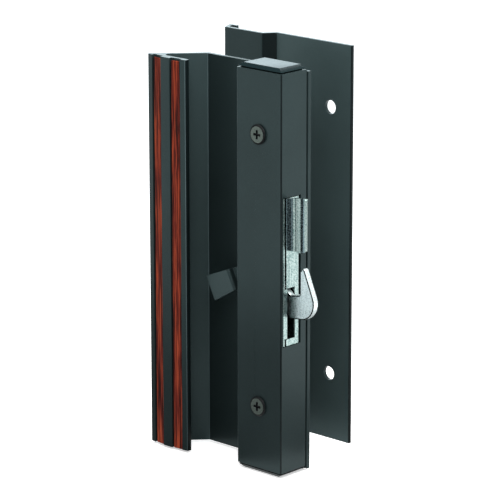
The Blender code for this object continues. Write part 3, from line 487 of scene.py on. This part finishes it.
# faces that get a lit or shaded copy of the piece's material, painted light and painted shade: material, spans
# of X and Y in mm, span of the normal's azimuth in degrees
paintedLightFaces = {
    "pull_extrusion": (
        (paintedLightPaint, (-60.0, -44.0), (-19.0, -1.0), (306, 330)),      # front of the web, painted lighter
        (paintedHighlightPaint, (-50.5, -43.0), (-5.0, 0.0), (280, 305)),         # bend into the base, a painted highlight
        (paintedHighlightPaint, (-44.0, -42.9), (-23.0, -18.0), (276, 308)),      # front corner of the grip, a painted highlight
        (paintedShadePaint, (-44.0, -42.9), (-23.0, -18.0), (309, 375)),     # its right edge, painted shade
        (paintedShadePaint, (-67.0, -66.1), (-23.0, -17.0), (205, 262)),     # its left corner, painted shade
    ),
    "latch_cover": (
        (paintedShadePaint, (12.6, 13.6), (-19.3, -18.3), (283, 347)),       # corner towards the latch side, painted shade
        (paintedHighlightPaint, (-13.6, -12.6), (-19.3, -18.3), (200, 256)),      # corner towards the grip, a painted highlight
    ),
    "latch_frame": (
        (paintedShadeTabZinc, (13.6, 15.9), (-17.0, -13.0), (276, 352)),       # step of the guard tab, painted shade where it mirrors the cover's dark wall
        (paintedShadeTabZinc, (20.2, 21.9), (-15.0, -12.0), (276, 352)),       # its turned rim, painted shade
    ),
    "thumb_lever": (
        (paintedLightPaint, (-40.0, -13.6), (-14.0, -8.0), (255, 285)),      # the pad's face, painted lighter
    ),
    "outside_pull": (
        (paintedLightFlangePaint, (-26.0, 13.0), (26.0, 30.0), (262, 278)),      # the flange's room side, painted lighter
        (paintedShadePaint, (-36.0, -20.0), (20.0, 30.0), (296, 335)),       # the step between the two flats, painted shade
        (paintedShadePaint, (12.2, 12.8), (26.0, 30.0), (281, 375)),         # its right edge, painted shade
    ),
}
levelBelow = 0.5             # share of the normal along Z, below which a face counts as upright


# gives the listed faces their painted-light and painted-shade copies of the coat and of the zinc
def paintLightAndShade(piece, rules):
    materials = piece.data.materials
    for material, xSpan, ySpan, turnSpan in rules:
        if materials.find(material.name) < 0:
            materials.append(material)
        index = materials.find(material.name)
        for face in piece.data.polygons:
            x, y, _ = face.center / mm
            turn = math.degrees(math.atan2(face.normal.y, face.normal.x)) % 360
            if turn < turnSpan[1] - 360:
                turn += 360
            inPlace = xSpan[0] < x < xSpan[1] and ySpan[0] < y < ySpan[1]
            if inPlace and turnSpan[0] < turn < turnSpan[1] and abs(face.normal.z) < levelBelow:
                face.material_index = index


def paintHookShadeAndHighlight(piece, look):
    # the blanked faces stay dull zinc; their border and the broken corner get a near-black painted shade line,
    # and the ground rim a near-white painted highlight
    dull, paintedShadeLine, bright = 0, 1, 2
    piece.data.materials.append(shadeLineZinc)
    piece.data.materials.append(rimHighlightZinc)
    mesh = bmesh.new()
    mesh.from_mesh(piece.data)
    for face in mesh.faces:
        facing = abs(face.normal.y)
        face.material_index = (
            dull if facing > look["faceFrom"] else bright if facing < look["rimBelow"] else paintedShadeLine)
    faces = [face for face in mesh.faces if face.material_index == dull]
    border = bmesh.ops.inset_region(mesh, faces=faces, thickness=look["paintedShadeLine"] * mm, use_even_offset=True)
    for face in border["faces"]:
        face.material_index = paintedShadeLine
    for face in mesh.faces:
        face.smooth = abs(face.normal.y) < look["faceFrom"]
    mesh.to_mesh(piece.data)
    mesh.free()
    if "custom_normal" in piece.data.attributes:
        piece.data.attributes.remove(piece.data.attributes["custom_normal"])


bodyOf = {name: body for body, members in frame["record"]["behaviour"]["bodies"].items() for name in members}
for nodeName, look in softEdges.items():
    piece = wear(softened(nodeName, look), look["material"], bodyOf[nodeName], look["slot"], nodeName)
    paintLightAndShade(piece, paintedLightFaces.get(nodeName, ()))
    if nodeName == "hook":
        paintHookShadeAndHighlight(piece, look)
print("edges broken on", len(softEdges), "pieces")


# wood-grain strips, a little narrower than their grooves, so that a dark line stands beside each

stripLook = {
    "groove": 0.45,          # mm of dark line beside the strip
    "edge": 0.22,            # mm, its broken edges
    "short": 1.1,            # mm below the extrusion's top
    "topBand": 0.1,          # mm, which finds its upper end
}


def dressStrip(nodeName, look):
    low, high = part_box(nodeName)
    share = 1 - look["groove"] * mm / (high[0] - low[0])
    mesh = mergedCopy(nodeName)
    joinFlats(mesh)
    for vert in mesh.verts:
        vert.co.x = high[0] - (high[0] - vert.co.x) * share
        if vert.co.z > high[2] - look["topBand"] * mm:
            vert.co.z -= look["short"] * mm
    return brokenEdges(mesh, nodeName, look["edge"])


for nodeName in ("wood_strip_left", "wood_strip_right"):
    wear(dressStrip(nodeName, stripLook), wood, "handle", "wood_grain", nodeName)
print("wood strips made")


# turned and threaded pieces, by Geometry Nodes

def startTree(name, sizes):
    # the sizes in mm become the tree's named inputs; their socket identifiers come back by name
    tree = bpy.data.node_groups.new(name, "GeometryNodeTree")
    sockets = {}
    for label, value in sizes.items():
        socket = tree.interface.new_socket(label, in_out="INPUT", socket_type="NodeSocketFloat")
        socket.default_value = value * mm
        sockets[label] = socket.identifier
    tree.interface.new_socket("Geometry", in_out="OUTPUT", socket_type="NodeSocketGeometry")
    return tree, addNode(tree, "NodeGroupInput").outputs, sockets


def lathe(tree, length, radius, profile, steps, around):
    # a straight line along Z whose radius follows a drawn curve, swept by a circle and capped
    end = addNode(tree, "ShaderNodeCombineXYZ", inputs={"Z": length})
    line = addNode(tree, "GeometryNodeCurvePrimitiveLine", inputs={"End": end.outputs["Vector"]})
    fine = addNode(tree, "GeometryNodeResampleCurve", inputs={"Curve": line.outputs["Curve"], "Count": steps})
    along = addNode(tree, "GeometryNodeSplineParameter")
    drawn = addNode(tree, "ShaderNodeFloatCurve", inputs={"Value": along.outputs["Factor"]})
    points = drawn.mapping.curves[0].points
    points[0].location = profile[0]
    points[1].location = profile[-1]
    for place in profile[1:-1]:
        points.new(*place)
    for point in points:
        point.handle_type = "VECTOR"
    drawn.mapping.update()
    scaled = addNode(tree, "ShaderNodeMath", {"operation": "MULTIPLY"}, {
        0: drawn.outputs["Value"], 1: radius})
    wide = addNode(tree, "GeometryNodeSetCurveRadius", inputs={
        "Curve": fine.outputs["Curve"], "Radius": scaled.outputs["Value"]})
    ring = addNode(tree, "GeometryNodeCurvePrimitiveCircle", inputs={"Resolution": around, "Radius": 1.0})
    scale = addNode(tree, "GeometryNodeInputRadius")
    swept = addNode(tree, "GeometryNodeCurveToMesh", inputs={
        "Curve": wide.outputs["Curve"], "Profile Curve": ring.outputs["Curve"],
        "Scale": scale.outputs["Radius"], "Fill Caps": True})
    return swept.outputs["Mesh"]


def moved(tree, geometry, offset=None, turn=None):
    node = addNode(tree, "GeometryNodeTransform", inputs={"Geometry": geometry})
    if offset is not None:
        shift = addNode(tree, "ShaderNodeCombineXYZ", inputs={"Z": offset})
        tree.links.new(shift.outputs["Vector"], node.inputs["Translation"])
    if turn is not None:
        node.inputs["Rotation"].default_value = turn
    return node.outputs["Geometry"]


def fromTree(name, tree, sockets, sizes):
    holder = bpy.data.objects.new(name + "Tree", bpy.data.meshes.new(name + "Tree"))
    bpy.context.scene.collection.objects.link(holder)
    modifier = holder.modifiers.new("made", "NODES")
    modifier.node_group = tree
    for label, value in sizes.items():
        modifier[sockets[label]] = value * mm
    return plainMesh(holder, name)


screwLook = {
    "sizes": {               # mm
        "headDiameter": 9.1, "headHeight": 0.96,
        "shankDiameter": 3.3, "threadDiameter": 4.1, "shankLength": 31.4, "pitch": 1.5,
        "crossSpan": 5.2, "crossWidth": 1.45, "crossDepth": 1.8,
        "spacing": 125.4,
    },
    "raise": 0.5,            # mm, middle of the pair above the cover's middle
    "seat": -19.5,           # mm, Y under the head
    # share of the height, share of the radius; then steps along and round
    "headProfile": ((0.0, 0.88), (0.15, 0.96), (0.3, 1.0), (0.45, 1.0),
                    (0.62, 0.965), (0.8, 0.90), (1.0, 0.82)),
    "headSteps": (20, 56),
    "shankProfile": ((0.0, 0.25), (0.05, 0.9), (0.08, 1.0), (1.0, 1.0)),
    "shankSteps": (40, 20),
    "crossFloor": 0.62,      # of its width at the mouth
    "threadShare": 0.9,      # of the shank, from the point up
    "threadFrom": -0.95,
    "threadSteps": 20,
    "ridge": 0.48,           # of the difference between thread and shank
    "driverFacing": -0.93,   # Y of the normal, from which a face belongs to the driver end
    "driverRise": 0.7,       # of the head's height, above which it may lie
}


def driverCross(tree, size, look):
    # two crossed bars, narrower below, whose lower half sinks into the head
    arms = []
    for turn in (0.0, math.pi / 2):
        box = addNode(tree, "ShaderNodeCombineXYZ", inputs={
            "X": size["crossSpan"], "Y": size["crossWidth"], "Z": size["crossDepth"]})
        bar = addNode(tree, "GeometryNodeMeshCube", inputs={"Size": box.outputs["Vector"]})
        arms.append(moved(tree, bar.outputs["Mesh"], turn=(0.0, 0.0, turn)))
    cross = addNode(tree, "GeometryNodeJoinGeometry")
    for arm in arms:
        tree.links.new(arm, cross.inputs["Geometry"])
    at = addNode(tree, "GeometryNodeInputPosition")
    parts = addNode(tree, "ShaderNodeSeparateXYZ", inputs={"Vector": at.outputs["Position"]})
    low = addNode(tree, "ShaderNodeMath", {"operation": "LESS_THAN"}, {0: parts.outputs["Z"], 1: 0.0})
    narrow = addNode(tree, "ShaderNodeMapRange", inputs={
        "Value": low.outputs["Value"], "To Min": 1.0, "To Max": look["crossFloor"]})
    across = addNode(tree, "ShaderNodeCombineXYZ", inputs={
        "X": narrow.outputs["Result"], "Y": narrow.outputs["Result"], "Z": 1.0})
    place = addNode(tree, "ShaderNodeVectorMath", {"operation": "MULTIPLY"}, {
        0: at.outputs["Position"], 1: across.outputs["Vector"]})
    tapered = addNode(tree, "GeometryNodeSetPosition", inputs={
        "Geometry": cross.outputs["Geometry"], "Position": place.outputs["Vector"]})
    return moved(tree, tapered.outputs["Geometry"], offset=size["headHeight"])


def threadedShank(tree, size, look):
    radius = addNode(tree, "ShaderNodeMath", {"operation": "MULTIPLY"}, {0: size["shankDiameter"], 1: 0.5})
    shank = lathe(tree, size["shankLength"], radius.outputs["Value"], look["shankProfile"], *look["shankSteps"])
    turns = addNode(tree, "ShaderNodeMath", {"operation": "DIVIDE"}, {0: size["shankLength"], 1: size["pitch"]})
    turnsHeld = addNode(tree, "ShaderNodeMath", {"operation": "MULTIPLY"}, {
        0: turns.outputs["Value"], 1: look["threadShare"]})
    rise = addNode(tree, "ShaderNodeMath", {"operation": "MULTIPLY"}, {
        0: size["shankLength"], 1: look["threadShare"]})
    helix = addNode(tree, "GeometryNodeCurveSpiral", inputs={
        "Resolution": look["threadSteps"], "Rotations": turnsHeld.outputs["Value"],
        "Start Radius": radius.outputs["Value"], "End Radius": radius.outputs["Value"],
        "Height": rise.outputs["Value"]})
    depth = addNode(tree, "ShaderNodeMath", {"operation": "SUBTRACT"}, {
        0: size["threadDiameter"], 1: size["shankDiameter"]})
    ridge = addNode(tree, "ShaderNodeMath", {"operation": "MULTIPLY"}, {
        0: depth.outputs["Value"], 1: look["ridge"]})
    triangle = addNode(tree, "GeometryNodeCurvePrimitiveCircle", inputs={
        "Resolution": 3, "Radius": ridge.outputs["Value"]})
    thread = addNode(tree, "GeometryNodeCurveToMesh", inputs={
        "Curve": helix.outputs["Curve"], "Profile Curve": triangle.outputs["Curve"], "Fill Caps": True})
    threadPlace = addNode(tree, "ShaderNodeMath", {"operation": "MULTIPLY"}, {
        0: size["shankLength"], 1: look["threadFrom"]})
    shankPlace = addNode(tree, "ShaderNodeMath", {"operation": "MULTIPLY"}, {0: size["shankLength"], 1: -1.0})
    return (moved(tree, shank, offset=shankPlace.outputs["Value"]),
            moved(tree, thread.outputs["Mesh"], offset=threadPlace.outputs["Value"]))


def makeScrews(look):
    # low round heads with a driver cross, a thread down the shank; the pair stands on the cover's middle line
    tree, size, sockets = startTree("mountingScrews", look["sizes"])
    headRadius = addNode(tree, "ShaderNodeMath", {"operation": "MULTIPLY"}, {0: size["headDiameter"], 1: 0.5})
    head = lathe(tree, size["headHeight"], headRadius.outputs["Value"], look["headProfile"], *look["headSteps"])
    cut = addNode(tree, "GeometryNodeMeshBoolean", {"operation": "DIFFERENCE", "solver": "EXACT"}, {
        "Mesh 1": head, "Mesh 2": driverCross(tree, size, look), "Self Intersection": True})
    screw = addNode(tree, "GeometryNodeJoinGeometry")
    for part in (cut.outputs["Mesh"], *threadedShank(tree, size, look)):
        tree.links.new(part, screw.inputs["Geometry"])
    standing = moved(tree, screw.outputs["Geometry"], turn=(math.pi / 2, 0.0, 0.0))

    step = addNode(tree, "ShaderNodeCombineXYZ", inputs={"Z": size["spacing"]})
    spread = addNode(tree, "GeometryNodeMeshLine", {"mode": "OFFSET"}, {
        "Count": 2, "Offset": step.outputs["Vector"]})
    lowest = addNode(tree, "ShaderNodeMath", {"operation": "MULTIPLY"}, {0: size["spacing"], 1: -0.5})
    lowestRaised = addNode(tree, "ShaderNodeMath", {"operation": "ADD"}, {
        0: lowest.outputs["Value"], 1: look["raise"] * mm})
    start = addNode(tree, "ShaderNodeCombineXYZ", inputs={
        "Y": look["seat"] * mm, "Z": lowestRaised.outputs["Value"]})
    places = addNode(tree, "GeometryNodeTransform", inputs={
        "Geometry": spread.outputs["Mesh"], "Translation": start.outputs["Vector"]})
    pair = addNode(tree, "GeometryNodeInstanceOnPoints", inputs={
        "Points": places.outputs["Geometry"], "Instance": standing})
    real = addNode(tree, "GeometryNodeRealizeInstances", inputs={"Geometry": pair.outputs["Instances"]})

    black = addNode(tree, "GeometryNodeSetMaterial", inputs={
        "Geometry": real.outputs["Geometry"], "Material": blackSteel})
    facing = addNode(tree, "GeometryNodeInputNormal")
    facingParts = addNode(tree, "ShaderNodeSeparateXYZ", inputs={"Vector": facing.outputs["Normal"]})
    outer = addNode(tree, "ShaderNodeMath", {"operation": "LESS_THAN"}, {
        0: facingParts.outputs["Y"], 1: look["driverFacing"]})
    at = addNode(tree, "GeometryNodeInputPosition")
    atParts = addNode(tree, "ShaderNodeSeparateXYZ", inputs={"Vector": at.outputs["Position"]})
    proud = addNode(tree, "ShaderNodeMath", {"operation": "LESS_THAN"}, {
        0: atParts.outputs["Y"], 1: (look["seat"] - look["driverRise"] * look["sizes"]["headHeight"]) * mm})
    driverFace = addNode(tree, "ShaderNodeMath", {"operation": "MULTIPLY"}, {
        0: outer.outputs["Value"], 1: proud.outputs["Value"]})
    driverEnd = addNode(tree, "GeometryNodeSetMaterial", inputs={
        "Geometry": black.outputs["Geometry"], "Selection": driverFace.outputs["Value"],
        "Material": lighterHeadSteel})
    addNode(tree, "NodeGroupOutput", inputs={"Geometry": driverEnd.outputs["Geometry"]})
    return fromTree("mountingScrews", tree, sockets, look["sizes"])


wear(makeScrews(screwLook), None, "handle", "black_screw", "mounting_screw_upper", "mounting_screw_lower")
print("screws made")


postLook = {
    "sizes": {"postDiameter": 5.0, "postLength": 12.1, "across": 13.0, "along": 82.0},      # mm
    "front": -17.65,         # mm, Y of the tenon's end
    # share of the length, share of the radius: tenon and its swollen head, body, tenon, rivet head
    "profile": ((0.0, 0.30), (0.02, 0.62), (0.05, 1.05), (0.066, 1.08), (0.067, 0.60), (0.19, 0.60),
                (0.195, 1.0), (0.87, 1.0), (0.875, 0.60), (0.99, 0.60), (1.0, 0.55)),
    "steps": (120, 28),
}


def makePosts(look):
    # four riveted distance posts between the latch's front plate and its frame
    tree, size, sockets = startTree("casePosts", look["sizes"])
    radius = addNode(tree, "ShaderNodeMath", {"operation": "MULTIPLY"}, {0: size["postDiameter"], 1: 0.5})
    post = lathe(tree, size["postLength"], radius.outputs["Value"], look["profile"], *look["steps"])
    standing = moved(tree, post, turn=(math.pi / 2, 0.0, 0.0))
    grid = addNode(tree, "GeometryNodeMeshGrid", inputs={
        "Size X": size["across"], "Size Y": size["along"], "Vertices X": 2, "Vertices Y": 2})
    upright = moved(tree, grid.outputs["Mesh"], turn=(math.pi / 2, 0.0, 0.0))
    back = addNode(tree, "ShaderNodeMath", {"operation": "ADD"}, {0: size["postLength"], 1: look["front"] * mm})
    shift = addNode(tree, "ShaderNodeCombineXYZ", inputs={"Y": back.outputs["Value"]})
    places = addNode(tree, "GeometryNodeTransform", inputs={
        "Geometry": upright, "Translation": shift.outputs["Vector"]})
    four = addNode(tree, "GeometryNodeInstanceOnPoints", inputs={
        "Points": places.outputs["Geometry"], "Instance": standing})
    real = addNode(tree, "GeometryNodeRealizeInstances", inputs={"Geometry": four.outputs["Instances"]})
    finished = addNode(tree, "GeometryNodeSetMaterial", inputs={
        "Geometry": real.outputs["Geometry"], "Material": steel})
    addNode(tree, "NodeGroupOutput", inputs={"Geometry": finished.outputs["Geometry"]})
    return fromTree("casePosts", tree, sockets, look["sizes"])


wear(makePosts(postLook), None, "handle", "bright_steel",
     "case_post_1", "case_post_2", "case_post_3", "case_post_4")
print("posts made")

turnedNodes = ("screw_sleeve_upper", "screw_sleeve_lower", "pivot_pin", "pivot_spacer",
               "wave_washer", "drive_rivet")
for nodeName in turnedNodes:
    nodes[nodeName].data.materials.clear()
    nodes[nodeName].data.materials.append(steel)
print("turned CAD nodes given their steel")


# camera, fitted to points measured in the photograph

camera = {
    "focalPixels": 3000.0, "imagePixels": 500.0,
    "sensor": 36.0,                                  # mm
    "yaw": 43.14, "pitch": 14.98, "roll": -0.07,     # degrees
    "distance": 1348.9, "right": -17.03, "up": 6.53,     # mm
    "clip": (0.05, 20.0),                            # m
}


def makeCamera(look):
    yaw, pitch, roll = (math.radians(look[key]) for key in ("yaw", "pitch", "roll"))
    forward = Vector((-math.sin(yaw) * math.cos(pitch), math.cos(yaw) * math.cos(pitch), -math.sin(pitch)))
    right = Vector((math.cos(yaw), math.sin(yaw), 0.0))
    up = right.cross(forward)
    turnedRight = right * math.cos(roll) + up * math.sin(roll)
    turnedUp = up * math.cos(roll) - right * math.sin(roll)
    place = (-forward * look["distance"] + turnedRight * look["right"] + turnedUp * look["up"]) * mm
    data = bpy.data.cameras.new("photoCamera")
    data.sensor_width = look["sensor"]
    data.lens = look["focalPixels"] / look["imagePixels"] * look["sensor"]
    data.clip_start, data.clip_end = look["clip"]
    item = bpy.data.objects.new("photoCamera", data)
    axes = Matrix((turnedRight, turnedUp, -forward)).transposed()
    item.matrix_world = Matrix.Translation(place) @ axes.to_4x4()
    bpy.context.scene.collection.objects.link(item)
    bpy.context.scene.camera = item


makeCamera(camera)


# studio: pale floor, soft panels close above the object, and dark cards that give the satin faces their depth

studio = {
    "floorColour": "#fafafa",
    "floorSize": 7.0,        # m
    "floorGap": 0.5,         # mm, from the floor to the object, and to the cards above it
    "floorGlow": 0.55,       # for camera, glossy and transmission rays, so that the backdrop is white
    "worldLight": 0.50,      # for diffuse rays; the object's gloss sees the same white backdrop as the camera
    "panels": {
        # name: (azimuth anticlockwise from +X and elevation in degrees, distance m, width m, height m, watts)
        "rightPanel": (318, 44, 0.70, 0.50, 0.40, 4.6),
        "frontPanel": (240, 70, 0.45, 0.35, 0.30, 0.35),
        "sidePanel": (16, 62, 0.42, 0.35, 0.30, 1.7),
        "lowBackPanel": (133, 16, 1.6, 1.2, 0.6, 5.8),
        "overheadPanel": (200, 80, 0.80, 0.6, 0.6, 2.6),
    },
    "panelTint": {"lowBackPanel": "#d9f3fb"},      # a slightly cooler tube
    "cardColour": "#101010",
    "cards": {
        # name: (azimuth, elevation, distance m, width m, height m)
        "cameraSideCard": (316, 22, 1.75, 1.5, 1.6),
        "leftCard": (182, 20, 1.5, 1.2, 1.2),
    },
    "floorCards": {
        # name: (azimuth, nearest and farthest edge m, width m, colour)
        "cameraFloorCard": (314, 0.12, 0.9, 0.36, "#101010"),
        "leftFloorCard": (176, 0.10, 0.8, 0.30, "#101010"),
        "frontFloorCard": (236, 0.03, 0.29, 0.30, "#868686"),
        "rightFloorCard": (40, 0.03, 0.12, 0.30, "#9c9c9c"),
    },
}


square = ((-1, -1), (1, -1), (1, 1), (-1, 1))        # corners, in halves of each side


def towards(azimuth, elevation):
    around = math.radians(azimuth)
    height = math.radians(elevation)
    return Vector((math.cos(around) * math.cos(height), math.sin(around) * math.cos(height), math.sin(height)))


def flatPiece(name, corners, material):
    mesh = bpy.data.meshes.new(name)
    mesh.from_pydata([tuple(corner) for corner in corners], [], [(0, 1, 2, 3)])
    mesh.materials.append(material)
    item = bpy.data.objects.new(name, mesh)
    bpy.context.scene.collection.objects.link(item)
    return item


def backdropRays(tree):
    rays = addNode(tree, "ShaderNodeLightPath")
    glossy = addNode(tree, "ShaderNodeMath", {"operation": "MAXIMUM"}, {
        0: rays.outputs["Is Camera Ray"], 1: rays.outputs["Is Glossy Ray"]})
    seen = addNode(tree, "ShaderNodeMath", {"operation": "MAXIMUM"}, {
        0: glossy.outputs["Value"], 1: rays.outputs["Is Transmission Ray"]})
    return seen.outputs["Value"]


def makeFloor(look):
    low = cadBox[0].z - look["floorGap"] * mm
    half = look["floorSize"] / 2
    material, tree, shader = newMaterial("paleStudioFloor", {
        "Base Color": hexColour(look["floorColour"]), "Roughness": 0.9, "Emission Color": (1.0, 1.0, 1.0, 1.0)})
    glow = addNode(tree, "ShaderNodeMath", {"operation": "MULTIPLY"}, {
        0: backdropRays(tree), 1: look["floorGlow"]})
    tree.links.new(glow.outputs["Value"], shader.inputs["Emission Strength"])
    flatPiece("studioFloor", [(x * half, y * half, low) for x, y in square], material)


def makePanel(name, settings, tint):
    azimuth, elevation, distance, width, height, watts = settings
    toLight = towards(azimuth, elevation)
    data = bpy.data.lights.new(name, "AREA")
    data.shape = "RECTANGLE"
    data.size = width
    data.size_y = height
    data.energy = watts
    data.color = hexColour(tint)[:3]
    item = bpy.data.objects.new(name, data)
    item.location = toLight * distance
    item.rotation_euler = (-toLight).to_track_quat("-Z", "Y").to_euler()
    item.visible_camera = False
    bpy.context.scene.collection.objects.link(item)


def matteCard(name, colour):
    return newMaterial(name, {"Base Color": hexColour(colour), "Roughness": 0.95, "Specular IOR Level": 0.1})[0]


def makeCard(name, settings, material):
    azimuth, elevation, distance, width, height = settings
    out = towards(azimuth, elevation)
    side = Vector((-out.y, out.x, 0.0)).normalized() * width / 2
    rise = out.cross(side).normalized() * height / 2
    corners = [out * distance + side * a + rise * b for a, b in square]
    flatPiece(name, corners, material).visible_camera = False


def makeFloorCard(name, settings, lift):
    # lies beside the object and shows in its gloss only, so the floor under it stays white
    azimuth, near, far, width, colour = settings
    out = towards(azimuth, 0)
    side = Vector((-out.y, out.x, 0.0)) * width / 2
    up = Vector((0.0, 0.0, cadBox[0].z + lift * mm))
    corners = [out * near - side + up, out * far - side + up, out * far + side + up, out * near + side + up]
    card = flatPiece(name, corners, matteCard(name + "Matte", colour))
    card.visible_camera = False
    card.visible_diffuse = False
    card.visible_shadow = False
    card.visible_transmission = False


def makeWorld(look):
    world = bpy.data.worlds.new("studioWorld")
    bpy.context.scene.world = world
    world.use_nodes = True
    tree = world.node_tree
    tree.nodes.clear()
    strength = addNode(tree, "ShaderNodeMapRange", inputs={
        "Value": backdropRays(tree), "To Min": look["worldLight"], "To Max": 1.0})
    back = addNode(tree, "ShaderNodeBackground", inputs={
        "Color": (1.0, 1.0, 1.0, 1.0), "Strength": strength.outputs["Result"]})
    addNode(tree, "ShaderNodeOutputWorld", inputs={"Surface": back.outputs["Background"]})


cardBlack = matteCard("matteBlackCard", studio["cardColour"])
for cardName, settings in studio["cards"].items():
    makeCard(cardName, settings, cardBlack)
for cardName, settings in studio["floorCards"].items():
    makeFloorCard(cardName, settings, studio["floorGap"])
makeFloor(studio)
for panelName, settings in studio["panels"].items():
    makePanel(panelName, settings, studio["panelTint"].get(panelName, "#ffffff"))
makeWorld(studio)
bpy.context.scene.view_settings.view_transform = "Standard"
print("camera and studio made")
